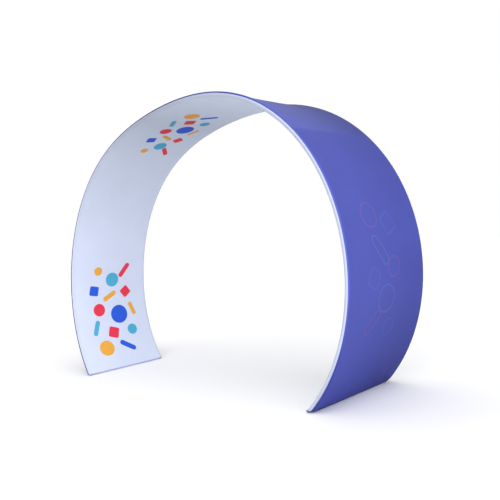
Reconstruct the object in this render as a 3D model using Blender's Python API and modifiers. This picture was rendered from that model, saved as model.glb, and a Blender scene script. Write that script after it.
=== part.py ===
"""Fabric display arch: two bent tube hoops with cross tubes, inside a fitted cover of two panels.

Metres, +Z up. The walk-through passage runs along Y and the arch stands on the floor at z = 0.
"""

import math

import bmesh
import bpy
from mathutils import Vector

# Hoop, as the centre line of its tube: a wide round bow that has settled a little to one side
MEAN_RADIUS = 1.6269
CENTRE_HEIGHT = 0.9128
BOW_TERMS = (
    {"waves": 2, "even": -0.1683, "lean": 0.0748},
    {"waves": 3, "even": 0.0213, "lean": -0.0168},
    {"waves": 4, "even": -0.0197, "lean": 0.0},
)

# Distance between the two hoops. The cloth pulls them together at the crown
HOOP_SPACING = 0.882
CROWN_PINCH = 0.030
SIDE_FLARE = 0.023

# Tubes and feet
TUBE_RADIUS = 0.018
SPREADER_RADIUS = 0.016
SPREADER_SHARES = (0.167, 0.291, 0.5, 0.709, 0.833)
FOOT_SPREADER_HEIGHT = 0.032
FOOT_RADIUS = 0.0178
FOOT_HEIGHT = 0.010
FIT_GAP = 0.0003

# Cover
CLOTH_THICKNESS = 0.0015
CLOTH_GAP = 0.0022
SEAM_ANGLE = math.radians(60)
SEAM_TWIST = math.radians(35)
SEAM_GAP = 0.0006
HEM_HEIGHT = 0.004
OUTER_SAG = 0.016
INNER_SAG = 0.010
MITRE_LENGTH = 0.15

# Faceting
STATIONS = 72
PANEL_STEPS = 6
OUTER_EDGE_STEPS = 5
INNER_EDGE_STEPS = 7
TUBE_RUN_OUT = 0.08
TUBE_SIDES = 16
WELD_DISTANCE = 1e-5
FLOOR_CUT = (4.2, 1.4, 0.2)

# Search range for the angle at which a leg reaches a height, and how often it is halved
LEG_ANGLES = (math.radians(100), math.radians(140))
HALVINGS = 60
DIRECTION_STEP = 1e-4
STEEP = 0.1

COVER_RADIUS = TUBE_RADIUS + CLOTH_GAP + CLOTH_THICKNESS / 2


def clear_scene():
    for obj in list(bpy.data.objects):
        bpy.data.objects.remove(obj, do_unlink=True)


def new_collection(name):
    collection = bpy.data.collections.new(name)
    bpy.context.scene.collection.children.link(collection)
    return collection


def make_material(name, colour, roughness, metallic=0.0):
    material = bpy.data.materials.new(name)
    material.use_nodes = True
    shader = material.node_tree.nodes["Principled BSDF"]
    shader.inputs["Base Color"].default_value = (*colour, 1.0)
    shader.inputs["Roughness"].default_value = roughness
    shader.inputs["Metallic"].default_value = metallic
    return material


def add_object(name, data, collection, root, material):
    obj = bpy.data.objects.new(name, data)
    collection.objects.link(obj)
    obj.data.materials.append(material)
    obj.parent = root
    return obj


def bow_radius(angle):
    """Distance of the centre line from the bow's centre, with the angle measured from the top."""
    radius = MEAN_RADIUS
    for term in BOW_TERMS:
        turn = term["waves"] * angle
        radius += term["even"] * math.cos(turn) + term["lean"] * math.sin(turn)
    return radius


def bow_point(angle):
    radius = bow_radius(angle)
    return Vector((radius * math.sin(angle), 0.0, CENTRE_HEIGHT + radius * math.cos(angle)))


def half_spacing(angle):
    """Half the distance between the hoops' centre lines, at this place along the bow."""
    pinch = CROWN_PINCH * math.cos(angle)
    flare = SIDE_FLARE * math.sin(angle / 2)
    return (HOOP_SPACING - pinch + flare) / 2


def bow_angle_at(height, side):
    """The angle below the widest point at which one leg is at this height. Side is -1 or 1."""
    low, high = LEG_ANGLES
    for _ in range(HALVINGS):
        middle = (low + high) / 2
        if bow_point(side * middle).z > height:
            low = middle
        else:
            high = middle
    return side * low


def bow_direction(angle):
    before = bow_point(angle - DIRECTION_STEP)
    after = bow_point(angle + DIRECTION_STEP)
    return (after - before).normalized()


def outward(angle):
    along = bow_direction(angle)
    return Vector((-along.z, 0.0, along.x))


def station_angles(height):
    """Angles from the left foot to the right one, with both ends at this height."""
    left = bow_angle_at(height, -1)
    right = bow_angle_at(height, 1)
    return [left + (right - left) * index / STATIONS for index in range(STATIONS + 1)]


def run_lengths(angles):
    """Distance along the centre line up to each station."""
    lengths = [0.0]
    for before, after in zip(angles, angles[1:]):
        lengths.append(lengths[-1] + (bow_point(after) - bow_point(before)).length)
    return lengths


def angle_at_share(share):
    angles = station_angles(0.0)
    lengths = run_lengths(angles)
    target = share * lengths[-1]
    for index in range(STATIONS):
        if lengths[index + 1] >= target:
            part = (target - lengths[index]) / (lengths[index + 1] - lengths[index])
            return angles[index] + part * (angles[index + 1] - angles[index])
    return angles[-1]


def side_shift():
    """Moves the arch along X so that the cover's widest points are the same distance from the origin."""
    reach = COVER_RADIUS + CLOTH_THICKNESS / 2
    sides = [(bow_point(angle) + reach * outward(angle)).x for angle in station_angles(HEM_HEIGHT)]
    return Vector((-(max(sides) + min(sides)) / 2, 0.0, 0.0))


def bay_share(share):
    """How far the cloth is from the nearest cross tubes: 0 on a tube and 1 in mid bay."""
    marks = (0.0, *SPREADER_SHARES, 1.0)
    for before, after in zip(marks, marks[1:]):
        if share <= after:
            return math.sin(math.pi * max(0.0, share - before) / (after - before))
    return 0.0


def seam_angle(share):
    """Where the seam lies around the hoop tube. The cover has turned inward on the left leg."""
    to_crown = min(1.0, 2 * share)
    return SEAM_ANGLE + SEAM_TWIST * math.cos(math.pi / 2 * to_crown) ** 2


def edge_arc(start, end, steps):
    """Angles around a hoop tube, measured from the outward side of the arch."""
    return [start + (end - start) * index / steps for index in range(steps + 1)]


def outer_section(share, half_width):
    """The outer panel across the arch, as pairs of depth and outward distance."""
    seam = seam_angle(share) - SEAM_GAP / 2 / COVER_RADIUS
    sag = OUTER_SAG * bay_share(share)
    return panel_section(edge_arc(seam, 0.0, OUTER_EDGE_STEPS), half_width, COVER_RADIUS, sag)


def inner_section(share, half_width):
    """The inner panel across the arch. It wraps the tubes from their inner side to the seam."""
    seam = seam_angle(share) + SEAM_GAP / 2 / COVER_RADIUS
    sag = INNER_SAG * math.sin(math.pi * share)
    return panel_section(edge_arc(seam, math.pi, INNER_EDGE_STEPS), half_width, -COVER_RADIUS, sag)


def panel_section(arc, half_width, level, sag):
    front = [(-half_width - COVER_RADIUS * math.sin(a), COVER_RADIUS * math.cos(a)) for a in arc]
    middle = []
    for index in range(1, PANEL_STEPS):
        across = 2 * index / PANEL_STEPS - 1
        middle.append((across * half_width, level - sag * (1 - across**4)))
    back = [(-depth, distance) for depth, distance in reversed(front)]
    return front + middle + back


def smooth(value):
    value = min(1.0, max(0.0, value))
    return value * value * (3 - 2 * value)


def loft_panel(name, section, collection, root, material):
    """A sheet through the section at every station, cut level with the floor at both feet."""
    angles = station_angles(HEM_HEIGHT)
    lengths = run_lengths(angles)
    shift = side_shift()
    mesh = bmesh.new()
    rows = []
    for angle, length in zip(angles, lengths):
        to_end = min(length, lengths[-1] - length)
        along = bow_direction(angle)
        normal = outward(angle)
        level_cut = -normal.z / along.z if abs(along.z) > STEEP else 0.0
        offset = normal + along * level_cut * smooth(1 - to_end / MITRE_LENGTH)
        centre = bow_point(angle) + shift
        row = []
        for depth, distance in section(length / lengths[-1], half_spacing(angle)):
            row.append(mesh.verts.new(centre + offset * distance + Vector((0.0, depth, 0.0))))
        rows.append(row)
    for row, following in zip(rows, rows[1:]):
        for index in range(len(row) - 1):
            mesh.faces.new((row[index], row[index + 1], following[index + 1], following[index]))
    bmesh.ops.recalc_face_normals(mesh, faces=mesh.faces)
    data = bpy.data.meshes.new(name)
    mesh.to_mesh(data)
    mesh.free()
    obj = add_object(name, data, collection, root, material)
    solidify = obj.modifiers.new("thickness", "SOLIDIFY")
    solidify.thickness = CLOTH_THICKNESS
    solidify.offset = 0.0
    solidify.use_even_offset = True
    return obj


def make_floor_cutter(collection):
    """Everything below the top of the feet, used to cut the tube ends level."""
    size = Vector(FLOOR_CUT)
    mesh = bmesh.new()
    bmesh.ops.create_cube(mesh, size=1.0)
    bmesh.ops.scale(mesh, vec=size, verts=mesh.verts)
    data = bpy.data.meshes.new("floor_cutter")
    mesh.to_mesh(data)
    mesh.free()
    cutter = bpy.data.objects.new("floor_cutter", data)
    collection.objects.link(cutter)
    cutter.location = (0.0, 0.0, FOOT_HEIGHT + FIT_GAP - size.z / 2)
    cutter.hide_render = True
    cutter.display_type = "WIRE"
    return cutter


def make_hoop(name, row, collection, root, cutter, material):
    """A bent tube, run a little below the floor and then cut level on top of its two feet.

    Row is -1 for the front hoop and 1 for the back one.
    """
    angles = station_angles(0.0)
    points = [bow_point(angle) + Vector((0.0, row * half_spacing(angle), 0.0)) for angle in angles]
    points.insert(0, points[0] - TUBE_RUN_OUT * bow_direction(angles[0]))
    points.append(points[-1] + TUBE_RUN_OUT * bow_direction(angles[-1]))
    curve = bpy.data.curves.new(name, "CURVE")
    curve.dimensions = "3D"
    curve.bevel_depth = TUBE_RADIUS
    curve.bevel_resolution = 2
    curve.use_fill_caps = True
    spline = curve.splines.new("POLY")
    spline.points.add(len(points) - 1)
    for spot, point in zip(spline.points, points):
        spot.co = (*point, 1.0)
    guide = bpy.data.objects.new(name + "_guide", curve)
    collection.objects.link(guide)
    graph = bpy.context.evaluated_depsgraph_get()
    data = bpy.data.meshes.new_from_object(guide.evaluated_get(graph))
    bpy.data.objects.remove(guide, do_unlink=True)
    mesh = bmesh.new()
    mesh.from_mesh(data)
    bmesh.ops.remove_doubles(mesh, verts=mesh.verts, dist=WELD_DISTANCE)
    bmesh.ops.recalc_face_normals(mesh, faces=mesh.faces)
    mesh.to_mesh(data)
    mesh.free()
    data.name = name
    data.materials.clear()
    hoop = add_object(name, data, collection, root, material)
    hoop.location = side_shift()
    cut = hoop.modifiers.new("level_ends", "BOOLEAN")
    cut.operation = "DIFFERENCE"
    cut.solver = "EXACT"
    cut.object = cutter
    return hoop


def make_cylinder(name, radius, length, collection, root, material):
    mesh = bmesh.new()
    bmesh.ops.create_cone(
        mesh,
        cap_ends=True,
        segments=TUBE_SIDES,
        radius1=radius,
        radius2=radius,
        depth=length,
    )
    data = bpy.data.meshes.new(name)
    mesh.to_mesh(data)
    mesh.free()
    return add_object(name, data, collection, root, material)


def make_spreaders(collection, root, material):
    """Cross tubes from the left foot over the top to the right foot, held between the hoops."""
    low_left = bow_angle_at(FOOT_SPREADER_HEIGHT, -1)
    low_right = bow_angle_at(FOOT_SPREADER_HEIGHT, 1)
    angles = [low_left, *(angle_at_share(share) for share in SPREADER_SHARES), low_right]
    for number, angle in enumerate(angles, start=1):
        name = f"spreader_{number}"
        length = 2 * (half_spacing(angle) - TUBE_RADIUS - FIT_GAP)
        tube = make_cylinder(name, SPREADER_RADIUS, length, collection, root, material)
        tube.location = bow_point(angle) + side_shift()
        tube.rotation_euler = (math.pi / 2, 0.0, 0.0)


def make_feet(collection, root, material):
    """A plug under each of the four tube ends. They carry the arch."""
    for side, side_name in ((-1, "left"), (1, "right")):
        angle = bow_angle_at(FOOT_HEIGHT / 2, side)
        centre = bow_point(angle) + side_shift()
        for row, row_name in ((-1, "front"), (1, "back")):
            name = f"foot_{row_name}_{side_name}"
            foot = make_cylinder(name, FOOT_RADIUS, FOOT_HEIGHT, collection, root, material)
            foot.location = (centre.x, row * half_spacing(angle), FOOT_HEIGHT / 2)


def main():
    clear_scene()
    parts = new_collection("display_arch")
    cutters = new_collection("cutters")
    cutters.hide_render = True
    root = bpy.data.objects.new("display_arch", None)
    parts.objects.link(root)

    indigo = make_material("indigo_cloth", (0.105, 0.122, 0.473), 0.75)
    white = make_material("white_cloth", (0.80, 0.84, 0.93), 0.80)
    aluminium = make_material("aluminium_tube", (0.62, 0.63, 0.65), 0.35, 1.0)
    rubber = make_material("grey_plug", (0.12, 0.12, 0.13), 0.6)

    cutter = make_floor_cutter(cutters)
    make_hoop("hoop_front", -1, parts, root, cutter, aluminium)
    make_hoop("hoop_back", 1, parts, root, cutter, aluminium)
    make_spreaders(parts, root, aluminium)
    make_feet(parts, root, rubber)
    loft_panel("cover_outer", outer_section, parts, root, indigo)
    loft_panel("cover_inner", inner_section, parts, root, white)


main()
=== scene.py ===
import bisect
import math
import random
import bmesh
import bpy
from mathutils import Matrix, Vector


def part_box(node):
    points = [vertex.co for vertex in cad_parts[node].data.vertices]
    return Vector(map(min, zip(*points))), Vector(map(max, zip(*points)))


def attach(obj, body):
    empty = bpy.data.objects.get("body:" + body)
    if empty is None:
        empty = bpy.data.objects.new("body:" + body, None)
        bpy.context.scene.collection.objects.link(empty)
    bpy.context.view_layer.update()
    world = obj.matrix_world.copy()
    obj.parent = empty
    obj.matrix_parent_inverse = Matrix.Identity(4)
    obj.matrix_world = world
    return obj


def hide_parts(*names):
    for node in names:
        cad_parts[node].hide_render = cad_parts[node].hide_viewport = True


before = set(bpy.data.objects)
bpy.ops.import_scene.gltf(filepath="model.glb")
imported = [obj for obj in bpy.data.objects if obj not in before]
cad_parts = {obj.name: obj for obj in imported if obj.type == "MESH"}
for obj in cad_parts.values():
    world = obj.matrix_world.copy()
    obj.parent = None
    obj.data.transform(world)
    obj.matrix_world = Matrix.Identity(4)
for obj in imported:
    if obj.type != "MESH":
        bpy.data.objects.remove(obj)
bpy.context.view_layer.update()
print("frame loaded:", len(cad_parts), "nodes")

# The arch's line, from the same named sizes as the solids, in metres
bow = {
    "meanRadius": 1.6269,
    "centreHeight": 0.9128,
    "terms": (
        {"waves": 2, "even": -0.1683, "lean": 0.0748},
        {"waves": 3, "even": 0.0213, "lean": -0.0168},
        {"waves": 4, "even": -0.0197, "lean": 0.0},
    ),
    "hoopSpacing": 0.882,
    "crownPinch": 0.030,
    "sideFlare": 0.023,
    "coverRadius": 0.02095,
    "solidHalfThickness": 0.00075,
    "hemHeight": 0.004,
    "mitreLength": 0.15,
    "spreaderShares": (0.167, 0.291, 0.5, 0.709, 0.833),
}


def smooth(value):
    value = min(1.0, max(0.0, value))
    return value * value * (3 - 2 * value)


def bowPoint(angle):
    # angle from the top, positive towards the right leg
    radius = bow["meanRadius"]
    for term in bow["terms"]:
        turn = term["waves"] * angle
        radius += term["even"] * math.cos(turn) + term["lean"] * math.sin(turn)
    return Vector((radius * math.sin(angle), 0.0, bow["centreHeight"] + radius * math.cos(angle)))


def bowDirection(angle):
    step = 1e-4
    return (bowPoint(angle + step) - bowPoint(angle - step)).normalized()


def outwardAt(angle):
    along = bowDirection(angle)
    return Vector((-along.z, 0.0, along.x))


def halfSpacing(angle):
    pinch = bow["crownPinch"] * math.cos(angle)
    flare = bow["sideFlare"] * math.sin(angle / 2)
    return (bow["hoopSpacing"] - pinch + flare) / 2


def bowAngleAt(height, side):
    low, high = math.radians(100), math.radians(140)
    for halving in range(60):
        middle = (low + high) / 2
        if bowPoint(side * middle).z > height:
            low = middle
        else:
            high = middle
    return side * low


def measureRun(height, steps):
    # bow angles and the distance along the arch, from the left hem to the right one
    first, last = bowAngleAt(height, -1), bowAngleAt(height, 1)
    angles = [first + (last - first) * index / steps for index in range(steps + 1)]
    lengths = [0.0]
    for before, after in zip(angles, angles[1:]):
        lengths.append(lengths[-1] + (bowPoint(after) - bowPoint(before)).length)
    return angles, lengths


def sideShift():
    # centres the cover on the origin, by the same rule as the solids
    reach = bow["coverRadius"] + bow["solidHalfThickness"]
    angles, lengths = measureRun(bow["hemHeight"], 72)
    sides = [(bowPoint(angle) + reach * outwardAt(angle)).x for angle in angles]
    return Vector((-(max(sides) + min(sides)) / 2, 0.0, 0.0))


shift = sideShift()
runAngles, runLengths = measureRun(bow["hemHeight"], 1200)
archLength = runLengths[-1]
print("arch line: %.3f m along" % archLength)


def angleAt(distance):
    index = min(max(bisect.bisect_left(runLengths, distance), 1), len(runLengths) - 1)
    part = (distance - runLengths[index - 1]) / (runLengths[index] - runLengths[index - 1])
    return runAngles[index - 1] + part * (runAngles[index] - runAngles[index - 1])


def stationAt(distance):
    # the arch's cross-section at one distance from the left hem
    angle = angleAt(distance)
    along, normal = bowDirection(angle), outwardAt(angle)
    toEnd = min(distance, archLength - distance)
    levelCut = -normal.z / along.z if abs(along.z) > 0.1 else 0.0
    return {
        "distance": distance,
        "share": distance / archLength,
        "toEnd": toEnd,
        "centre": bowPoint(angle) + shift,
        "normal": normal,
        "offset": normal + along * levelCut * smooth(1 - toEnd / bow["mitreLength"]),
        "half": halfSpacing(angle),
    }


# Camera at the photo's angle
def makeCamera():
    view = {
        "place": (3.8739, -3.3658, 1.1029),
        "heading": -45.103,
        "rise": 0.2624,
        "tilt": -5.6368,
        "lens": 41.133,
        "sensor": 36.0,
    }
    heading, rise, tilt = (math.radians(view[key]) for key in ("heading", "rise", "tilt"))
    level = Vector((math.sin(heading), math.cos(heading), 0.0))
    ahead = level * math.cos(rise) + Vector((0.0, 0.0, math.sin(rise)))
    right = Vector((math.cos(heading), -math.sin(heading), 0.0))
    up = right.cross(ahead)
    tiltedRight = math.cos(tilt) * right + math.sin(tilt) * up
    tiltedUp = math.cos(tilt) * up - math.sin(tilt) * right
    turn = Matrix((tiltedRight, tiltedUp, -ahead)).transposed()
    data = bpy.data.cameras.new("photoCamera")
    data.lens = view["lens"]
    data.sensor_width = view["sensor"]
    data.clip_end = 200.0
    camera = bpy.data.objects.new("photoCamera", data)
    bpy.context.scene.collection.objects.link(camera)
    camera.matrix_world = Matrix.Translation(Vector(view["place"])) @ turn.to_4x4()
    bpy.context.scene.camera = camera


makeCamera()


# sRGB hex, such as 5B63BE, to linear values
def linear(hexColour, alpha=1.0):
    values = []
    for start in (0, 2, 4):
        value = int(hexColour[start:start + 2], 16) / 255
        values.append(value / 12.92 if value <= 0.04045 else ((value + 0.055) / 1.055) ** 2.4)
    return (*values, alpha)


# One node with its settings. An input is a value, or an output socket to link from
def addNode(tree, kind, settings=None, inputs=None):
    node = tree.nodes.new(kind)
    for name, value in (settings or {}).items():
        setattr(node, name, value)
    for name, value in (inputs or {}).items():
        socket = node.inputs[name]
        if isinstance(value, bpy.types.NodeSocket):
            tree.links.new(value, socket)
        else:
            socket.default_value = value
    return node


def newMaterial(name):
    material = bpy.data.materials.new(name)
    material.use_nodes = True
    return material, material.node_tree, material.node_tree.nodes["Principled BSDF"]


def placeMesh(name, mesh, material):
    data = bpy.data.meshes.new(name)
    mesh.to_mesh(data)
    mesh.free()
    data.materials.append(material)
    piece = bpy.data.objects.new(name, data)
    bpy.context.scene.collection.objects.link(piece)
    return piece


# Cover: a fitted stretch knit in two panels, sewn together along both hoops
cloth = {
    "thickness": 0.0012,
    "seamAngle": math.radians(60),
    "seamTwist": math.radians(35),
    "seamGap": 0.0006,
    "seamTuck": 0.0016,
    "foldWidth": 0.0092,
    "foldHeight": 0.0008,
    "foldSlope": 0.0016,
    "tuckWidth": 0.0025,
    "hemWidth": 0.012,
    "hemHeight": 0.0006,
    "hemSlope": 0.002,
    "cornerLift": 0.0055,
    "cornerReach": 0.04,
    "outerSag": 0.016,
    "innerSag": 0.010,
    "alongStep": 0.018,
    "acrossSteps": 34,
    # spots around the rim, measured from the seam, close together where the edge is folded
    "rimSpots": (0.0, 0.0007, 0.0015, 0.0025, 0.004, 0.006, 0.008, 0.0092, 0.010, 0.0108, 0.012, 0.014),
    "outerRimSteps": 5,
    "innerRimSteps": 9,
    # closer rows of spots on each side of a cross tube and up from each hem
    "tubeRows": (-0.010, -0.005, -0.002, 0.0, 0.002, 0.005, 0.010),
    "tubeRoom": 0.014,
    "hemRows": (0.0015, 0.003, 0.0055, 0.008, 0.0105, 0.0125, 0.0145, 0.018, 0.024),
    "hemRoom": 0.025,
}

# Main creases of the stretched cloth: where the middle is, how long and wide, how deep, and
# the turn from the arch's own direction in degrees
outerCreases = [
    {"share": 0.985, "across": -0.72, "length": 0.16, "width": 0.022, "turn": -24, "depth": -0.0022},
    {"share": 0.982, "across": 0.70, "length": 0.18, "width": 0.026, "turn": 26, "depth": -0.0026},
    {"share": 0.955, "across": 0.10, "length": 0.22, "width": 0.060, "turn": 8, "depth": -0.0016},
    {"share": 0.780, "across": -0.35, "length": 0.26, "width": 0.070, "turn": -12, "depth": 0.0014},
    {"share": 0.640, "across": 0.25, "length": 0.30, "width": 0.080, "turn": 9, "depth": -0.0016},
    {"share": 0.016, "across": -0.70, "length": 0.16, "width": 0.022, "turn": 24, "depth": -0.0022},
    {"share": 0.018, "across": 0.72, "length": 0.17, "width": 0.024, "turn": -25, "depth": -0.0024},
]
innerCreases = [
    {"share": 0.0055, "across": 0.77, "length": 0.050, "width": 0.009, "turn": 58, "depth": 0.0060},
    {"share": 0.015, "across": -0.74, "length": 0.14, "width": 0.020, "turn": 22, "depth": 0.0018},
    {"share": 0.230, "across": 0.20, "length": 0.28, "width": 0.080, "turn": -10, "depth": 0.0015},
    {"share": 0.985, "across": 0.72, "length": 0.15, "width": 0.022, "turn": 24, "depth": 0.0020},
    {"share": 0.984, "across": -0.72, "length": 0.15, "width": 0.022, "turn": -24, "depth": 0.0020},
]

# Short uneven pulls where the cloth runs off the ends of each cross tube
pulls = {
    "seed": 11,
    "offTube": 0.006,
    "across": (0.74, 0.84),
    "length": (0.06, 0.11),
    "width": (0.012, 0.018),
    "turn": (52, 66),
    "depth": (0.0006, 0.0013),
}


def addSpreaderPulls():
    dice = random.Random(pulls["seed"])
    for share in bow["spreaderShares"]:
        for side in (-1, 1):
            for lean in (-1, 1):
                outerCreases.append({
                    "share": share + lean * pulls["offTube"],
                    "across": side * dice.uniform(*pulls["across"]),
                    "length": dice.uniform(*pulls["length"]),
                    "width": dice.uniform(*pulls["width"]),
                    "turn": lean * side * dice.uniform(*pulls["turn"]),
                    "depth": -dice.uniform(*pulls["depth"]),
                })


addSpreaderPulls()


def creaseDepth(isOuter, station, depth):
    total = 0.0
    for crease in outerCreases if isOuter else innerCreases:
        aside = depth - crease["across"] * station["half"]
        ahead = station["distance"] - crease["share"] * archLength
        if abs(ahead) > 3 * crease["length"]:
            continue
        turn = math.radians(crease["turn"])
        onLine = ahead * math.cos(turn) + aside * math.sin(turn)
        offLine = aside * math.cos(turn) - ahead * math.sin(turn)
        spread = (onLine / crease["length"]) ** 2 + (offLine / crease["width"]) ** 2
        total += crease["depth"] * math.exp(-spread)
    return total


def bayShare(share):
    # 0 on a cross tube and 1 in the middle of a bay
    marks = (0.0, *bow["spreaderShares"], 1.0)
    for before, after in zip(marks, marks[1:]):
        if share <= after:
            return math.sin(math.pi * max(0.0, share - before) / (after - before))
    return 0.0


def seamAngle(share):
    # the cover has turned inward on the left leg
    return cloth["seamAngle"] + cloth["seamTwist"] * math.cos(math.pi / 2 * min(1.0, 2 * share)) ** 2


def rimLift(fromSeam):
    # the seam allowance lies folded under the edge, and the edge itself dips into the seam
    fold = cloth["foldHeight"] * (1 - smooth((fromSeam - cloth["foldWidth"]) / cloth["foldSlope"]))
    return fold - cloth["seamTuck"] * (1 - smooth(fromSeam / cloth["tuckWidth"]))


def hemLift(toEnd):
    return cloth["hemHeight"] * (1 - smooth((toEnd - cloth["hemWidth"]) / cloth["hemSlope"]))


def cornerRise(station):
    # the stretch draws the corners of the hems up
    return cloth["cornerLift"] * smooth(1 - station["toEnd"] / cloth["cornerReach"])


def rimSpot(isOuter, station, side, fromSeam):
    # a spot on the rounding over a hoop, as a point and the way out of the cloth there
    radius = bow["coverRadius"]
    turned = (cloth["seamGap"] / 2 + fromSeam) / radius
    seam = seamAngle(station["share"])
    around = seam - turned if isOuter else seam + turned
    reach = radius + rimLift(fromSeam) + hemLift(station["toEnd"])
    depth = side * (station["half"] + reach * math.sin(around))
    point = station["centre"] + station["offset"] * (reach * math.cos(around)) + Vector((0.0, depth, 0.0))
    point.z += cornerRise(station)
    out = station["normal"] * math.cos(around) + Vector((0.0, side * math.sin(around), 0.0))
    return point, out


def flatSpot(isOuter, station, across):
    # a spot on the stretched cloth between the hoops
    depth = across * station["half"]
    if isOuter:
        sag = cloth["outerSag"] * bayShare(station["share"])
        out = bow["coverRadius"] + hemLift(station["toEnd"])
    else:
        sag = cloth["innerSag"] * math.sin(math.pi * station["share"])
        out = -bow["coverRadius"] - hemLift(station["toEnd"])
    out -= sag * (1 - across ** 4)
    out += creaseDepth(isOuter, station, depth) * (1 - across ** 8)
    point = station["centre"] + station["offset"] * out + Vector((0.0, depth, 0.0))
    point.z += abs(across) ** 10 * cornerRise(station)
    return point, station["normal"] if isOuter else -station["normal"]


def rimDistances(isOuter, share):
    radius = bow["coverRadius"]
    seam = seamAngle(share)
    arc = radius * (seam if isOuter else math.pi - seam) - cloth["seamGap"] / 2
    steps = cloth["outerRimSteps"] if isOuter else cloth["innerRimSteps"]
    last = cloth["rimSpots"][-1]
    return list(cloth["rimSpots"]) + [last + (arc - last) * index / steps for index in range(1, steps + 1)]


def stationDistances():
    # even steps along the arch, with closer ones at the cross tubes and the hems
    count = round(archLength / cloth["alongStep"])
    runs = [archLength * index / count for index in range(count + 1)]
    for share in bow["spreaderShares"]:
        middle = share * archLength
        runs = [value for value in runs if abs(value - middle) > cloth["tubeRoom"]]
        runs += [middle + offset for offset in cloth["tubeRows"]]
    room = cloth["hemRoom"]
    runs = [value for value in runs if value in (0.0, archLength) or room < value < archLength - room]
    for offset in cloth["hemRows"]:
        runs += [offset, archLength - offset]
    return sorted(runs)


def coverPanel(name, isOuter, material):
    mesh = bmesh.new()
    clothMap = mesh.loops.layers.uv.new("clothMap")   # metres across from the middle, metres along
    edgeMap = mesh.loops.layers.uv.new("edgeMap")     # metres from the nearest seam and hem
    flats = [2 * index / cloth["acrossSteps"] - 1 for index in range(1, cloth["acrossSteps"])]
    rows, widths = [], []
    for distance in stationDistances():
        station = stationAt(distance)
        rim = rimDistances(isOuter, station["share"])
        points = [rimSpot(isOuter, station, -1, fromSeam)[0] for fromSeam in rim]
        points += [flatSpot(isOuter, station, across)[0] for across in flats]
        points += [rimSpot(isOuter, station, 1, fromSeam)[0] for fromSeam in reversed(rim)]
        lengths = [0.0]
        for before, after in zip(points, points[1:]):
            lengths.append(lengths[-1] + (after - before).length)
        widths.append(lengths[-1])
        row = []
        for point, length in zip(points, lengths):
            spot = (length - lengths[-1] / 2, distance)
            edge = (min(length, lengths[-1] - length), station["toEnd"])
            row.append((mesh.verts.new(point), spot, edge))
        rows.append(row)
    for row, following in zip(rows, rows[1:]):
        for index in range(len(row) - 1):
            corners = (row[index], row[index + 1], following[index + 1], following[index])
            face = mesh.faces.new([vertex for vertex, spot, edge in corners])
            face.smooth = True
            for loop, (vertex, spot, edge) in zip(face.loops, corners):
                loop[clothMap].uv = spot
                loop[edgeMap].uv = edge
    if not isOuter:
        bmesh.ops.reverse_faces(mesh, faces=mesh.faces)
    panel = placeMesh(name, mesh, material)
    thicken = panel.modifiers.new("thickness", "SOLIDIFY")
    thicken.thickness = cloth["thickness"]
    thicken.offset = 0.0
    thicken.use_even_offset = True
    return panel, sum(widths) / len(widths)


# One printed mark: a bar with round ends, which is a disc where its half lengths are 0
def makePrintMark():
    tree = bpy.data.node_groups.new("printMark", "ShaderNodeTree")
    for name, kind in (
        ("Point", "NodeSocketVector"),
        ("Centre", "NodeSocketVector"),
        ("Turn", "NodeSocketFloat"),
        ("Half", "NodeSocketVector"),
        ("Round", "NodeSocketFloat"),
        ("Line", "NodeSocketFloat"),
    ):
        tree.interface.new_socket(name=name, in_out="INPUT", socket_type=kind)
    for name in ("Filled", "Outline"):
        tree.interface.new_socket(name=name, in_out="OUTPUT", socket_type="NodeSocketFloat")
    given = addNode(tree, "NodeGroupInput")
    moved = addNode(tree, "ShaderNodeVectorMath", {"operation": "SUBTRACT"}, {
        0: given.outputs["Point"], 1: given.outputs["Centre"]})
    turned = addNode(tree, "ShaderNodeVectorRotate", {"rotation_type": "Z_AXIS"}, {
        "Vector": moved.outputs["Vector"], "Angle": given.outputs["Turn"]})
    folded = addNode(tree, "ShaderNodeVectorMath", {"operation": "ABSOLUTE"}, {0: turned.outputs["Vector"]})
    over = addNode(tree, "ShaderNodeVectorMath", {"operation": "SUBTRACT"}, {
        0: folded.outputs["Vector"], 1: given.outputs["Half"]})
    kept = addNode(tree, "ShaderNodeVectorMath", {"operation": "MAXIMUM"}, {
        0: over.outputs["Vector"], 1: (0.0, 0.0, 0.0)})
    reach = addNode(tree, "ShaderNodeVectorMath", {"operation": "LENGTH"}, {0: kept.outputs["Vector"]})
    gap = addNode(tree, "ShaderNodeMath", {"operation": "SUBTRACT"}, {
        0: reach.outputs["Value"], 1: given.outputs["Round"]})
    inkEdge = 0.0015   # the ink's soft edge, half width in metres
    fade = {"From Min": -inkEdge, "From Max": inkEdge, "To Min": 1.0, "To Max": 0.0}
    filled = addNode(tree, "ShaderNodeMapRange", None, {"Value": gap.outputs[0], **fade})
    fromLine = addNode(tree, "ShaderNodeMath", {"operation": "ABSOLUTE"}, {0: gap.outputs[0]})
    halfLine = addNode(tree, "ShaderNodeMath", {"operation": "MULTIPLY"}, {0: given.outputs["Line"], 1: 0.5})
    offLine = addNode(tree, "ShaderNodeMath", {"operation": "SUBTRACT"}, {
        0: fromLine.outputs[0], 1: halfLine.outputs[0]})
    outline = addNode(tree, "ShaderNodeMapRange", None, {"Value": offLine.outputs[0], **fade})
    addNode(tree, "NodeGroupOutput", None, {
        "Filled": filled.outputs["Result"], "Outline": outline.outputs["Result"]})
    return tree


printMark = makePrintMark()

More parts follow.
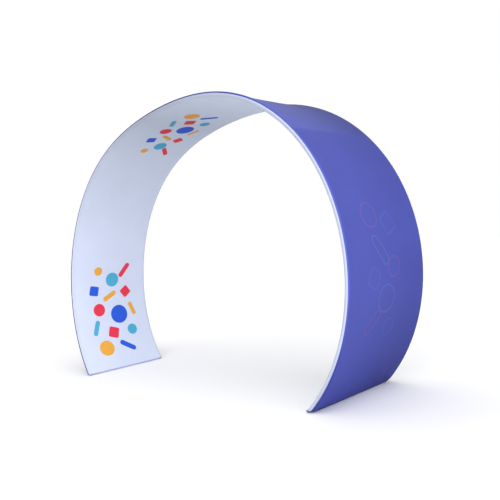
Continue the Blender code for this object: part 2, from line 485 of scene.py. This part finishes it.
# Printed design: scattered discs, dashes and tiles. Places are metres from each group's middle
inks = {"red": "E41E3C", "blue": "0050D2", "amber": "E8A428", "cyan": "40A6CC",
        "rose": "A0588C", "sky": "4F7FD0", "slate": "7C83B4"}
innerMarks = [
    {"ink": "amber", "across": -0.15, "along": -0.39, "half": (0.0, 0.0), "round": 0.072, "turn": 0},
    {"ink": "blue", "across": 0.09, "along": -0.40, "half": (0.060, 0.0), "round": 0.024, "turn": 35},
    {"ink": "red", "across": -0.03, "along": -0.24, "half": (0.034, 0.034), "round": 0.016, "turn": 20},
    {"ink": "cyan", "across": 0.19, "along": -0.24, "half": (0.0, 0.0), "round": 0.050, "turn": 0},
    {"ink": "cyan", "across": -0.21, "along": -0.17, "half": (0.050, 0.0), "round": 0.022, "turn": 112},
    {"ink": "blue", "across": 0.07, "along": -0.06, "half": (0.0, 0.0), "round": 0.086, "turn": 0},
    {"ink": "amber", "across": 0.23, "along": -0.02, "half": (0.046, 0.0), "round": 0.020, "turn": 70},
    {"ink": "red", "across": -0.15, "along": 0.01, "half": (0.0, 0.0), "round": 0.058, "turn": 0},
    {"ink": "amber", "across": -0.02, "along": 0.14, "half": (0.052, 0.0), "round": 0.022, "turn": -28},
    {"ink": "red", "across": 0.17, "along": 0.17, "half": (0.030, 0.030), "round": 0.014, "turn": 52},
    {"ink": "blue", "across": -0.19, "along": 0.21, "half": (0.030, 0.030), "round": 0.014, "turn": 12},
    {"ink": "cyan", "across": 0.02, "along": 0.31, "half": (0.0, 0.0), "round": 0.066, "turn": 0},
    {"ink": "amber", "across": -0.14, "along": 0.41, "half": (0.0, 0.0), "round": 0.040, "turn": 0},
    {"ink": "red", "across": 0.16, "along": 0.40, "half": (0.055, 0.0), "round": 0.023, "turn": 128},
]
outlineMarks = [
    {"ink": "rose", "across": -0.10, "along": -0.40, "half": (0.0, 0.0), "round": 0.085, "turn": 0},
    {"ink": "sky", "across": 0.10, "along": -0.34, "half": (0.045, 0.045), "round": 0.020, "turn": 25},
    {"ink": "slate", "across": -0.05, "along": -0.16, "half": (0.085, 0.0), "round": 0.034, "turn": 130},
    {"ink": "sky", "across": -0.14, "along": 0.02, "half": (0.040, 0.040), "round": 0.020, "turn": 60},
    {"ink": "rose", "across": 0.10, "along": -0.04, "half": (0.0, 0.0), "round": 0.070, "turn": 0},
    {"ink": "slate", "across": 0.02, "along": 0.17, "half": (0.0, 0.0), "round": 0.095, "turn": 0},
    {"ink": "rose", "across": -0.12, "along": 0.32, "half": (0.070, 0.0), "round": 0.030, "turn": 40},
    {"ink": "sky", "across": 0.09, "along": 0.38, "half": (0.0, 0.0), "round": 0.060, "turn": 0},
]
# Where each group of marks lies, and how its own places are stretched, turned and flipped
innerGroups = (
    {"share": 0.093, "across": 0.0, "wide": 1.08, "long": 1.08, "size": 1.2, "flip": 1},
    {"share": 0.437, "across": 0.02, "wide": 0.80, "long": -1.0, "size": 1.0, "flip": -1},
)
outerGroups = (
    {"share": 0.862, "across": -0.03, "wide": 1.0, "long": 1.0, "size": 1.0, "flip": 1},
)

indigoLook = {
    "base": "4B53AA",
    "sheen": 0.15,
    "sheenTint": "6E6E86",
    "specular": 0.2,
    "roughness": 0.72,
    "patchTone": 0.05,
    "marks": outlineMarks,
    "groups": outerGroups,
    "line": 0.009,
    "inkShare": 0.26,
    # shares of the arch's length, each with a tone. They stand in for the photo's shading
    # painted shade darkens both feet, and a painted sheen makes the crown bay lighter and greyer, up to the
    # cross tube at share 0.709
    "alongLightShades": (
        (0.0, (0.64, 0.65, 0.78)), (0.10, (0.96, 0.96, 0.96)), (0.20, (1.0, 1.0, 1.0)),
        (0.44, (1.0, 1.0, 1.0)), (0.56, (1.48, 1.41, 1.00)), (0.61, (1.44, 1.37, 0.90)),
        (0.66, (1.39, 1.33, 0.92)), (0.7085, (1.31, 1.27, 1.02)),
        (0.7105, (0.98, 0.98, 0.92)), (0.832, (1.01, 1.01, 1.00)), (0.834, (0.98, 0.98, 0.98)),
        (0.88, (0.97, 0.97, 0.98)), (0.94, (0.83, 0.84, 0.91)), (1.0, (0.65, 0.67, 0.82)),
    ),
    # painted shade: how much darker the back edge is than the front one
    "farShades": (
        (0.0, 0.10), (0.48, 0.10), (0.56, 0.56), (0.7085, 0.48), (0.7105, 0.22),
        (0.82, 0.17), (0.90, 0.26), (0.97, 0.44), (1.0, 0.44),
    ),
    "seamReach": 0.0085,
    # painted shade: the seam band reaches twice as far round the back hoop
    "backShadeReach": 0.5,
    # seam band colours along the arch: dark thread with painted shade, and a painted highlight, paler, on
    # the right leg from share 0.66 to 0.88
    "seamShadeInks": (
        (0.0, "20266E"), (0.60, "20266E"), (0.66, "4850B0"), (0.72, "5C65C2"),
        (0.88, "5C66C0"), (0.94, "323A92"), (1.0, "232A74"),
    ),
    "rimShade": 1.0,
    "hemReach": 0.011,
    # hem colour: painted shade, dark navy, where the cloth turns under
    "hemShadeInks": ((0.0, "20266C"), (1.0, "20266C")),
}
whiteLook = {
    "base": "D1D9EE",
    "sheen": 0.05,
    "sheenTint": "C8CCD8",
    "specular": 0.15,
    "roughness": 0.78,
    "patchTone": 0.018,
    "marks": innerMarks,
    "groups": innerGroups,
    "line": 0.0,
    "inkShare": 0.96,
    # painted shade, darker round the inside of the crown
    "alongLightShades": (
        (0.0, (1.0, 1.0, 1.0)), (0.10, (0.99, 0.99, 0.99)), (0.20, (0.99, 0.99, 0.99)),
        (0.29, (0.88, 0.88, 0.88)), (0.36, (0.79, 0.79, 0.79)), (0.46, (0.61, 0.62, 0.61)),
        (0.51, (0.69, 0.70, 0.69)), (0.55, (0.77, 0.78, 0.77)), (0.62, (0.84, 0.84, 0.84)),
        (0.80, (0.90, 0.90, 0.90)), (1.0, (0.94, 0.94, 0.94)),
    ),
    # painted shade on the back edge, slight and even along the arch
    "farShades": ((0.0, 0.03), (1.0, 0.03)),
    "seamReach": 0.0075,
    "backShadeReach": 1.0,
    # seam band colours along the arch: dark thread with painted shade up to share 0.5, then a painted
    # highlight, pale
    "seamShadeInks": (
        (0.0, "262C78"), (0.50, "262C78"), (0.60, "9AA2D4"), (0.66, "C4CCE8"),
        (0.92, "C4CCE8"), (1.0, "7A82B4"),
    ),
    # painted shade round the hoop, greyer beyond the folded edge
    "rimShade": 0.86,
    "hemReach": 0.011,
    # hem colours: painted shade, pale blue-grey at the left foot and dark navy at the right foot
    "hemShadeInks": ((0.0, "A8B0E0"), (0.49, "A8B0E0"), (0.51, "262C78"), (1.0, "262C78")),
}


def printedColour(tree, uv, look):
    # lays each mark over the base colour, one after the other
    colour = linear(look["base"])
    for group in look["groups"]:
        for mark in look["marks"]:
            centre = (
                group["across"] + mark["across"] * group["wide"],
                group["share"] * archLength + mark["along"] * group["long"],
                0.0,
            )
            shape = addNode(tree, "ShaderNodeGroup", {"node_tree": printMark}, {
                "Point": uv.outputs["UV"],
                "Centre": centre,
                "Turn": math.radians(mark["turn"] * group["flip"]),
                "Half": (mark["half"][0] * group["size"], mark["half"][1] * group["size"], 0.0),
                "Round": mark["round"] * group["size"],
                "Line": look["line"],
            })
            inked = shape.outputs["Outline" if look["line"] else "Filled"]
            share = addNode(tree, "ShaderNodeMath", {"operation": "MULTIPLY"}, {
                0: inked, 1: look["inkShare"]})
            mixed = addNode(tree, "ShaderNodeMix", {"data_type": "RGBA"}, {
                0: share.outputs[0], 6: colour, 7: linear(inks[mark["ink"]])})
            colour = mixed.outputs[2]
    return colour


def toneRamp(tree, value, stops):
    ramp = addNode(tree, "ShaderNodeValToRGB", None, {"Fac": value.outputs[0]})
    elements = ramp.color_ramp.elements
    for index, (share, tone) in enumerate(stops):
        # a new ramp has a first and a last stop already
        if index == 0:
            stop = elements[0]
        elif index == len(stops) - 1:
            stop = elements[-1]
        else:
            stop = elements.new(share)
        stop.position = share
        stop.color = (*tone, 1.0)
    return ramp


# The knit. Its ribs are 0.9 mm apart on the real cloth, drawn at 3 mm to show
knit = {
    "ribPitch": 0.003,
    "coursePitch": 0.0045,
    "courseShare": 0.4,
    "strength": 0.25,
    "depth": 0.0003,
    "slackScale": 7.0,
    "slackStrength": 0.35,
    "slackDepth": 0.004,
    "patchScale": 4.0,
    "roughnessDrift": 0.05,
    "sheenRoughness": 0.35,
    # metres across from the middle between which the painted shade on the back edge grows, and its tint
    # there
    "farFrom": -0.40,
    "farTo": 0.45,
    "farShadeTint": (0.0, 0.06, 0.22, 1.0),
    # metres from the seam where the folded edge ends and where the hoop ends
    "foldEnd": (0.0095, 0.0115),
    "hoopEnd": (0.022, 0.045),
    # metres to each side of the middle where the front edge's seam band passes into the back edge's wider
    # band of painted shade
    "middleWidth": 0.01,
    # metres over which an edge's band fades, on each side of its reach
    "bandInside": 0.001,
    "bandOutside": 0.0015,
}


def edgeBand(tree, value, reach):
    # 1 within the reach of an edge and 0 beyond it
    return addNode(tree, "ShaderNodeMapRange", {"interpolation_type": "SMOOTHSTEP"}, {
        "Value": value, "From Min": reach - knit["bandInside"],
        "From Max": reach + knit["bandOutside"], "To Min": 1.0, "To Max": 0.0})


# colours along the arch for the seam and hem bands; they carry painted light and shade
def edgeColourRamp(tree, value, stops):
    return toneRamp(tree, value, [(share, linear(ink)[:3]) for share, ink in stops])


def stretchKnit(name, look):
    # Warp-knit polyester, dye-printed: matt, with a faint bloom at grazing angles and fine
    # ribs along the arch
    material, tree, shader = newMaterial(name)
    uv = addNode(tree, "ShaderNodeUVMap", {"uv_map": "clothMap"})
    edge = addNode(tree, "ShaderNodeUVMap", {"uv_map": "edgeMap"})
    edges = addNode(tree, "ShaderNodeSeparateXYZ", None, {"Vector": edge.outputs["UV"]})
    colour = printedColour(tree, uv, look)
    patches = addNode(tree, "ShaderNodeTexNoise", None, {
        "Vector": uv.outputs["UV"], "Scale": knit["patchScale"], "Detail": 5.0, "Roughness": 0.62})
    patchTone = addNode(tree, "ShaderNodeMapRange", None, {
        "Value": patches.outputs["Fac"], "From Min": 0.3, "From Max": 0.7,
        "To Min": 1 - look["patchTone"], "To Max": 1 + look["patchTone"]})
    places = addNode(tree, "ShaderNodeSeparateXYZ", None, {"Vector": uv.outputs["UV"]})
    alongShare = addNode(tree, "ShaderNodeMath", {"operation": "DIVIDE"}, {
        0: places.outputs["Y"], 1: archLength})
    # painted light and shade along the arch: darker feet and inner crown, and a lighter, greyer sheen on the
    # outer crown bay
    alongLightShade = toneRamp(tree, alongShare, look["alongLightShades"])
    shaded = addNode(tree, "ShaderNodeMix", {"data_type": "RGBA", "blend_type": "MULTIPLY"}, {
        0: 1.0, 6: colour, 7: alongLightShade.outputs["Color"]})
    # painted shade, darker and bluer towards the back edge
    farRamp = toneRamp(tree, alongShare, [(share, (tone, tone, tone)) for share, tone in look["farShades"]])
    farShare = addNode(tree, "ShaderNodeMapRange", {"interpolation_type": "SMOOTHSTEP"}, {
        "Value": places.outputs["X"], "From Min": knit["farFrom"], "From Max": knit["farTo"]})
    farShade = addNode(tree, "ShaderNodeMath", {"operation": "MULTIPLY"}, {
        0: farRamp.outputs["Color"], 1: farShare.outputs["Result"]})
    farShadeColour = addNode(tree, "ShaderNodeMix", {"data_type": "RGBA"}, {
        0: farShade.outputs[0], 6: (1.0, 1.0, 1.0, 1.0), 7: knit["farShadeTint"]})
    farShaded = addNode(tree, "ShaderNodeMix", {"data_type": "RGBA", "blend_type": "MULTIPLY"}, {
        0: 1.0, 6: shaded.outputs[2], 7: farShadeColour.outputs[2]})
    # painted shade: the cloth is a little greyer round the hoop, beyond the folded edge
    beyondFold = addNode(tree, "ShaderNodeMapRange", {"interpolation_type": "SMOOTHSTEP"}, {
        "Value": edges.outputs["X"], "From Min": knit["foldEnd"][0], "From Max": knit["foldEnd"][1],
        "To Min": 1.0, "To Max": look["rimShade"]})
    offHoop = addNode(tree, "ShaderNodeMapRange", {"interpolation_type": "SMOOTHSTEP"}, {
        "Value": edges.outputs["X"], "From Min": knit["hoopEnd"][0], "From Max": knit["hoopEnd"][1],
        "To Min": 1.0, "To Max": 1 / look["rimShade"]})
    rimShade = addNode(tree, "ShaderNodeMath", {"operation": "MULTIPLY"}, {
        0: beyondFold.outputs["Result"], 1: offHoop.outputs["Result"]})
    # random mottling, times the painted shade round the hoop
    tone = addNode(tree, "ShaderNodeMath", {"operation": "MULTIPLY"}, {
        0: patchTone.outputs["Result"], 1: rimShade.outputs[0]})
    toned = addNode(tree, "ShaderNodeMix", {"data_type": "RGBA", "blend_type": "MULTIPLY"}, {
        0: 1.0, 6: farShaded.outputs[2], 7: tone.outputs[0]})
    # the overlocked edge along the seam: dark thread with painted shade, reaching further round on the back
    # hoop as painted shade, and a painted highlight, paler, where its colour lightens along the arch
    backSide = addNode(tree, "ShaderNodeMapRange", None, {
        "Value": places.outputs["X"], "From Min": -knit["middleWidth"], "From Max": knit["middleWidth"],
        "To Min": 1.0, "To Max": look["backShadeReach"]})
    fromSeam = addNode(tree, "ShaderNodeMath", {"operation": "MULTIPLY"}, {
        0: edges.outputs["X"], 1: backSide.outputs["Result"]})
    seam = edgeBand(tree, fromSeam.outputs[0], look["seamReach"])
    seamShadeInk = edgeColourRamp(tree, alongShare, look["seamShadeInks"])
    seamed = addNode(tree, "ShaderNodeMix", {"data_type": "RGBA"}, {
        0: seam.outputs["Result"], 6: toned.outputs[2], 7: seamShadeInk.outputs["Color"]})
    # overlocked hem, painted dark as shade where the cloth turns under at the floor
    hem = edgeBand(tree, edges.outputs["Y"], look["hemReach"])
    hemShadeInk = edgeColourRamp(tree, alongShare, look["hemShadeInks"])
    hemmed = addNode(tree, "ShaderNodeMix", {"data_type": "RGBA"}, {
        0: hem.outputs["Result"], 6: seamed.outputs[2], 7: hemShadeInk.outputs["Color"]})
    tree.links.new(hemmed.outputs[2], shader.inputs["Base Color"])
    # a wave texture's period is 2 pi / 20 at scale 1
    ribs = addNode(tree, "ShaderNodeTexWave", {"bands_direction": "X"}, {
        "Vector": uv.outputs["UV"], "Scale": math.pi / 10 / knit["ribPitch"], "Distortion": 0.6,
        "Detail Scale": 2.0})
    courses = addNode(tree, "ShaderNodeTexWave", {"bands_direction": "Y"}, {
        "Vector": uv.outputs["UV"], "Scale": math.pi / 10 / knit["coursePitch"], "Distortion": 0.8})
    loops = addNode(tree, "ShaderNodeMath", {"operation": "MULTIPLY_ADD"}, {
        0: courses.outputs["Fac"], 1: knit["courseShare"], 2: ribs.outputs["Fac"]})
    roughness = addNode(tree, "ShaderNodeMapRange", None, {
        "Value": patches.outputs["Fac"], "From Min": 0.3, "From Max": 0.7,
        "To Min": look["roughness"] - knit["roughnessDrift"],
        "To Max": look["roughness"] + knit["roughnessDrift"]})
    tree.links.new(roughness.outputs["Result"], shader.inputs["Roughness"])
    shader.inputs["Specular IOR Level"].default_value = look["specular"]
    shader.inputs["Sheen Weight"].default_value = look["sheen"]
    shader.inputs["Sheen Tint"].default_value = linear(look["sheenTint"])
    shader.inputs["Sheen Roughness"].default_value = knit["sheenRoughness"]
    knitBump = addNode(tree, "ShaderNodeBump", None, {
        "Strength": knit["strength"], "Distance": knit["depth"], "Height": loops.outputs[0]})
    # very soft unevenness of the stretch, a hand's breadth across
    slack = addNode(tree, "ShaderNodeTexNoise", None, {
        "Vector": uv.outputs["UV"], "Scale": knit["slackScale"], "Detail": 2.0})
    slackBump = addNode(tree, "ShaderNodeBump", None, {
        "Strength": knit["slackStrength"], "Distance": knit["slackDepth"],
        "Height": slack.outputs["Fac"], "Normal": knitBump.outputs["Normal"]})
    tree.links.new(slackBump.outputs["Normal"], shader.inputs["Normal"])
    return material


indigoKnit = stretchKnit("indigoStretchKnit", indigoLook)
whiteKnit = stretchKnit("whiteStretchKnit", whiteLook)
outerPanel, outerWidth = coverPanel("outerPanel", True, indigoKnit)
innerPanel, innerWidth = coverPanel("innerPanel", False, whiteKnit)
print("cover panels: %.3f and %.3f m wide" % (outerWidth, innerWidth))


# Topstitching along the seams and hems. Real stitches are 4 mm long, drawn at 8 mm to show
stitching = {
    "pitch": 0.012,
    "length": 0.0080,
    "radius": 0.0008,
    "lift": 0.0009,
    "seamRow": 0.0066,
    "hemRows": (0.0095, 0.0135),
    "pointStep": 0.03,
    "seed": 5,
    "uneven": (0.88, 1.10),
    "fromHem": 0.02,
    "hemSteps": 40,
}


def makeStitchTree():
    tree = bpy.data.node_groups.new("stitchRow", "GeometryNodeTree")
    tree.interface.new_socket(name="Rows", in_out="INPUT", socket_type="NodeSocketGeometry")
    for name in ("Pitch", "Length", "Radius"):
        tree.interface.new_socket(name=name, in_out="INPUT", socket_type="NodeSocketFloat")
    tree.interface.new_socket(name="Seed", in_out="INPUT", socket_type="NodeSocketInt")
    tree.interface.new_socket(name="Thread", in_out="INPUT", socket_type="NodeSocketMaterial")
    tree.interface.new_socket(name="Stitches", in_out="OUTPUT", socket_type="NodeSocketGeometry")
    given = addNode(tree, "NodeGroupInput")
    rows = addNode(tree, "GeometryNodeMeshToCurve", None, {0: given.outputs["Rows"]})
    spaced = addNode(tree, "GeometryNodeResampleCurve", None, {0: rows.outputs[0]})
    if "Mode" in spaced.inputs:
        spaced.inputs["Mode"].default_value = "Length"
    else:
        spaced.mode = "LENGTH"
    tree.links.new(given.outputs["Pitch"], spaced.inputs["Length"])
    bead = addNode(tree, "GeometryNodeMeshIcoSphere", None, {"Radius": 1.0, "Subdivisions": 1})
    halfLength = addNode(tree, "ShaderNodeMath", {"operation": "MULTIPLY"}, {
        0: given.outputs["Length"], 1: 0.5})
    shape = addNode(tree, "ShaderNodeCombineXYZ", None, {
        "X": halfLength.outputs[0], "Y": given.outputs["Radius"], "Z": given.outputs["Radius"]})
    stitch = addNode(tree, "GeometryNodeTransform", None, {
        "Geometry": bead.outputs[0], "Scale": shape.outputs[0]})
    tangent = addNode(tree, "GeometryNodeInputTangent")
    outward = addNode(tree, "GeometryNodeInputNamedAttribute", {"data_type": "FLOAT_VECTOR"}, {
        "Name": "outward"})
    along = addNode(tree, "FunctionNodeAlignRotationToVector", {"axis": "X"}, {"Vector": tangent.outputs[0]})
    upright = addNode(tree, "FunctionNodeAlignRotationToVector", {"axis": "Z", "pivot_axis": "X"}, {
        "Rotation": along.outputs[0], "Vector": outward.outputs[0]})
    uneven = addNode(tree, "FunctionNodeRandomValue", {"data_type": "FLOAT"}, {
        "Min": stitching["uneven"][0], "Max": stitching["uneven"][1], "Seed": given.outputs["Seed"]})
    placed = addNode(tree, "GeometryNodeInstanceOnPoints", None, {
        "Points": spaced.outputs[0], "Instance": stitch.outputs[0], "Rotation": upright.outputs[0]})
    scale = next(socket for socket in uneven.outputs if socket.enabled)
    tree.links.new(scale, placed.inputs["Scale"])
    real = addNode(tree, "GeometryNodeRealizeInstances", None, {0: placed.outputs[0]})
    threaded = addNode(tree, "GeometryNodeSetMaterial", None, {
        "Geometry": real.outputs[0], "Material": given.outputs["Thread"]})
    addNode(tree, "NodeGroupOutput", None, {0: threaded.outputs[0]})
    return tree


stitchTree = makeStitchTree()


def stitchLines(isOuter):
    # lines of (point, way out) that the stitches follow on one panel
    count = round(archLength / stitching["pointStep"])
    first, run = stitching["fromHem"], archLength - 2 * stitching["fromHem"]
    stations = [stationAt(first + run * index / count) for index in range(count + 1)]
    hemSteps = stitching["hemSteps"]
    lines = []
    for side in (-1, 1):
        lines.append([rimSpot(isOuter, station, side, stitching["seamRow"]) for station in stations])
    for row in stitching["hemRows"]:
        for distance in (row, archLength - row):
            station = stationAt(distance)
            shares = [2 * index / hemSteps - 1 for index in range(1, hemSteps)]
            lines.append([flatSpot(isOuter, station, across) for across in shares])
    return lines


def sewRows(name, isOuter, thread):
    mesh = bmesh.new()
    outs = []
    for line in stitchLines(isOuter):
        before = None
        for point, out in line:
            vertex = mesh.verts.new(point + out * stitching["lift"])
            outs.append(out)
            if before:
                mesh.edges.new((before, vertex))
            before = vertex
    rows = placeMesh(name + "Rows", mesh, thread)
    outward = rows.data.attributes.new("outward", "FLOAT_VECTOR", "POINT")
    for index, out in enumerate(outs):
        outward.data[index].vector = out
    modifier = rows.modifiers.new("stitches", "NODES")
    modifier.node_group = stitchTree
    wanted = {
        "Pitch": stitching["pitch"],
        "Length": stitching["length"],
        "Radius": stitching["radius"],
        "Seed": stitching["seed"],
        "Thread": thread,
    }
    for item in stitchTree.interface.items_tree:
        if item.name in wanted and item.in_out == "INPUT":
            modifier[item.identifier] = wanted[item.name]
    evaluated = rows.evaluated_get(bpy.context.evaluated_depsgraph_get())
    data = bpy.data.meshes.new_from_object(evaluated)
    rows.modifiers.clear()
    bpy.data.objects.remove(rows)
    data.name = name
    piece = bpy.data.objects.new(name, data)
    bpy.context.scene.collection.objects.link(piece)
    print(name + ":", len(data.polygons), "faces")
    return piece


threadLook = {"grainScale": 120.0, "tones": (0.85, 1.1), "roughness": 0.8}


def sewingThread(name, hexColour):
    # Spun polyester thread: matt, slightly uneven in tone from stitch to stitch
    material, tree, shader = newMaterial(name)
    place = addNode(tree, "ShaderNodeTexCoord")
    uneven = addNode(tree, "ShaderNodeTexNoise", None, {
        "Vector": place.outputs["Object"], "Scale": threadLook["grainScale"]})
    tone = addNode(tree, "ShaderNodeMapRange", None, {
        "Value": uneven.outputs["Fac"], "From Min": 0.3, "From Max": 0.7,
        "To Min": threadLook["tones"][0], "To Max": threadLook["tones"][1]})
    colour = addNode(tree, "ShaderNodeMix", {"data_type": "RGBA", "blend_type": "MULTIPLY"}, {
        0: 1.0, 6: linear(hexColour), 7: tone.outputs["Result"]})
    tree.links.new(colour.outputs[2], shader.inputs["Base Color"])
    shader.inputs["Roughness"].default_value = threadLook["roughness"]
    return material


outerStitching = sewRows("outerStitching", True, sewingThread("indigoThread", "4B53A6"))
innerStitching = sewRows("innerStitching", False, sewingThread("whiteThread", "BCC4DA"))


# Foot plugs: turned up from their outline, with a soft lower edge and a press-fit groove
footGlide = {
    # height over the floor and inset from the rim, where None is the middle of the plug
    "outline": (
        (0.0, None), (0.0, 0.0024), (0.0004, 0.0011), (0.0012, 0.0003), (0.0024, 0.0),
        (0.0062, 0.0), (0.0066, 0.0008), (0.0076, 0.0008), (0.0080, 0.0), (0.0094, 0.0),
        (0.0099, 0.0002), (0.0100, 0.0009), (0.0100, None),
    ),
    "sides": 64,
}


plugLook = {
    "base": "77798A",
    "scuffed": "A3A5B0",
    "scuffHeight": 0.004,
    "scuffShare": 0.85,
    "grainScale": 900.0,
    "grainStrength": 0.2,
    "grainDepth": 0.0002,
    "roughness": 0.45,
    "refraction": 1.51,
}


def mouldedPlug():
    # Moulded polyethylene: mid grey, waxy, lightly scuffed near the floor
    material, tree, shader = newMaterial("mouldedPolyethylene")
    place = addNode(tree, "ShaderNodeTexCoord")
    grain = addNode(tree, "ShaderNodeTexNoise", None, {
        "Vector": place.outputs["Object"], "Scale": plugLook["grainScale"], "Detail": 4.0})
    parts = addNode(tree, "ShaderNodeSeparateXYZ", None, {"Vector": place.outputs["Object"]})
    scuff = addNode(tree, "ShaderNodeMapRange", None, {
        "Value": parts.outputs["Z"], "From Min": 0.0, "From Max": plugLook["scuffHeight"],
        "To Min": plugLook["scuffShare"], "To Max": 0.0})
    scuffed = addNode(tree, "ShaderNodeMath", {"operation": "MULTIPLY"}, {
        0: scuff.outputs["Result"], 1: grain.outputs["Fac"]})
    colour = addNode(tree, "ShaderNodeMix", {"data_type": "RGBA"}, {
        0: scuffed.outputs[0], 6: linear(plugLook["base"]), 7: linear(plugLook["scuffed"])})
    tree.links.new(colour.outputs[2], shader.inputs["Base Color"])
    shader.inputs["Roughness"].default_value = plugLook["roughness"]
    shader.inputs["IOR"].default_value = plugLook["refraction"]
    bump = addNode(tree, "ShaderNodeBump", None, {
        "Strength": plugLook["grainStrength"], "Distance": plugLook["grainDepth"],
        "Height": grain.outputs["Fac"]})
    tree.links.new(bump.outputs["Normal"], shader.inputs["Normal"])
    return material


def makeGlide(nodeName, material):
    low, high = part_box(nodeName)
    middle = (low + high) / 2
    radius = (high.x - low.x) / 2
    mesh = bmesh.new()
    outline = []
    for rise, inset in footGlide["outline"]:
        reach = 0.0 if inset is None else radius - inset
        outline.append(mesh.verts.new((middle.x + reach, middle.y, low.z + rise)))
    edges = [mesh.edges.new(pair) for pair in zip(outline, outline[1:])]
    bmesh.ops.spin(mesh, geom=outline + edges, cent=middle, axis=(0, 0, 1), angle=2 * math.pi,
                   steps=footGlide["sides"], use_merge=True)
    bmesh.ops.remove_doubles(mesh, verts=mesh.verts, dist=1e-6)
    bmesh.ops.recalc_face_normals(mesh, faces=mesh.faces)
    for face in mesh.faces:
        face.smooth = True
    return placeMesh(nodeName.replace("foot", "footGlide"), mesh, material)


plugPlastic = mouldedPlug()
footNodes = [name for name in sorted(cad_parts) if name.startswith("foot_")]
glides = [(makeGlide(name, plugPlastic), name) for name in footNodes]
print("foot glides:", len(glides))


tubeLook = {
    "tones": ("BFC1C6", "D2D4D8"),
    "driftScale": 9.0,
    "grainScale": 600.0,
    "grainStrength": 0.08,
    "grainDepth": 0.0002,
    "roughness": (0.28, 0.42),
}


def drawnTube():
    # Drawn aluminium tube, satin anodised: soft sheen, fine draw lines and a little tone drift
    material, tree, shader = newMaterial("satinAnodisedAluminium")
    shader.inputs["Metallic"].default_value = 1.0
    place = addNode(tree, "ShaderNodeTexCoord")
    drift = addNode(tree, "ShaderNodeTexNoise", None, {
        "Vector": place.outputs["Object"], "Scale": tubeLook["driftScale"], "Detail": 3.0})
    colour = addNode(tree, "ShaderNodeMix", {"data_type": "RGBA"}, {
        0: drift.outputs["Fac"], 6: linear(tubeLook["tones"][0]), 7: linear(tubeLook["tones"][1])})
    tree.links.new(colour.outputs[2], shader.inputs["Base Color"])
    grain = addNode(tree, "ShaderNodeTexNoise", None, {
        "Vector": place.outputs["Object"], "Scale": tubeLook["grainScale"]})
    roughness = addNode(tree, "ShaderNodeMapRange", None, {
        "Value": grain.outputs["Fac"], "To Min": tubeLook["roughness"][0],
        "To Max": tubeLook["roughness"][1]})
    tree.links.new(roughness.outputs["Result"], shader.inputs["Roughness"])
    bump = addNode(tree, "ShaderNodeBump", None, {
        "Strength": tubeLook["grainStrength"], "Distance": tubeLook["grainDepth"],
        "Height": grain.outputs["Fac"]})
    tree.links.new(bump.outputs["Normal"], shader.inputs["Normal"])
    return material


tubeMetal = drawnTube()
for name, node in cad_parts.items():
    if name.startswith(("hoop", "spreader")):
        node.data.materials.clear()
        node.data.materials.append(tubeMetal)


# Plain pale floor and soft studio light, mostly from the front right and above
studio = {
    "floorColour": "FAFAFA",
    "floorRadius": 60.0,
    "ambient": 0.35,
    "backdrop": 1.0,
    "suns": (
        {"name": "frontRight", "towards": (0.70, -0.50, 0.51), "strength": 2.50, "spread": 80},
        {"name": "overhead", "towards": (-0.15, -0.10, 1.0), "strength": 0.95, "spread": 90},
        {"name": "backFill", "towards": (-0.60, 0.60, 0.50), "strength": 0.35, "spread": 90},
    ),
    "softbox": {"place": (3.4, -3.6, 1.5), "aim": (1.5, -0.4, 0.9), "size": 1.6, "power": 16.0},
}


def makeStage():
    material, tree, shader = newMaterial("paleFloor")
    shader.inputs["Base Color"].default_value = linear(studio["floorColour"])
    shader.inputs["Roughness"].default_value = 1.0
    shader.inputs["Specular IOR Level"].default_value = 0.0
    mesh = bmesh.new()
    bmesh.ops.create_circle(mesh, cap_ends=True, radius=studio["floorRadius"], segments=96)
    placeMesh("floor", mesh, material)


def makeLights():
    world = bpy.data.worlds.new("studio")
    world.use_nodes = True
    tree = world.node_tree
    lit = tree.nodes["Background"]
    lit.inputs["Color"].default_value = (1.0, 1.0, 1.0, 1.0)
    lit.inputs["Strength"].default_value = studio["ambient"]
    seen = addNode(tree, "ShaderNodeBackground", None, {
        "Color": (1.0, 1.0, 1.0, 1.0), "Strength": studio["backdrop"]})
    path = addNode(tree, "ShaderNodeLightPath")
    both = addNode(tree, "ShaderNodeMixShader", None, {
        0: path.outputs["Is Camera Ray"], 1: lit.outputs[0], 2: seen.outputs[0]})
    tree.links.new(both.outputs[0], tree.nodes["World Output"].inputs["Surface"])
    bpy.context.scene.world = world
    for sun in studio["suns"]:
        data = bpy.data.lights.new(sun["name"], "SUN")
        data.energy = sun["strength"]
        data.angle = math.radians(sun["spread"])
        lamp = bpy.data.objects.new(sun["name"], data)
        lamp.rotation_euler = Vector(sun["towards"]).to_track_quat("Z", "Y").to_euler()
        bpy.context.scene.collection.objects.link(lamp)
    box = studio["softbox"]
    data = bpy.data.lights.new("softbox", "AREA")
    data.size = box["size"]
    data.energy = box["power"]
    lamp = bpy.data.objects.new("softbox", data)
    lamp.location = box["place"]
    lamp.rotation_euler = (Vector(box["place"]) - Vector(box["aim"])).to_track_quat("Z", "Y").to_euler()
    bpy.context.scene.collection.objects.link(lamp)
    bpy.context.scene.view_settings.view_transform = "Standard"


makeStage()
makeLights()
print("studio lit")

for stitches, slotName in ((outerStitching, "indigo_cloth"), (innerStitching, "white_cloth")):
    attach(stitches, "root")
for panel, node, slotName, width, stitches in (
    (outerPanel, "cover_outer", "indigo_cloth", outerWidth, outerStitching),
    (innerPanel, "cover_inner", "white_cloth", innerWidth, innerStitching),
):
    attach(panel, "root")
    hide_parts(node)
for glide, node in glides:
    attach(glide, "root")
    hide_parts(node)
print("pieces placed")
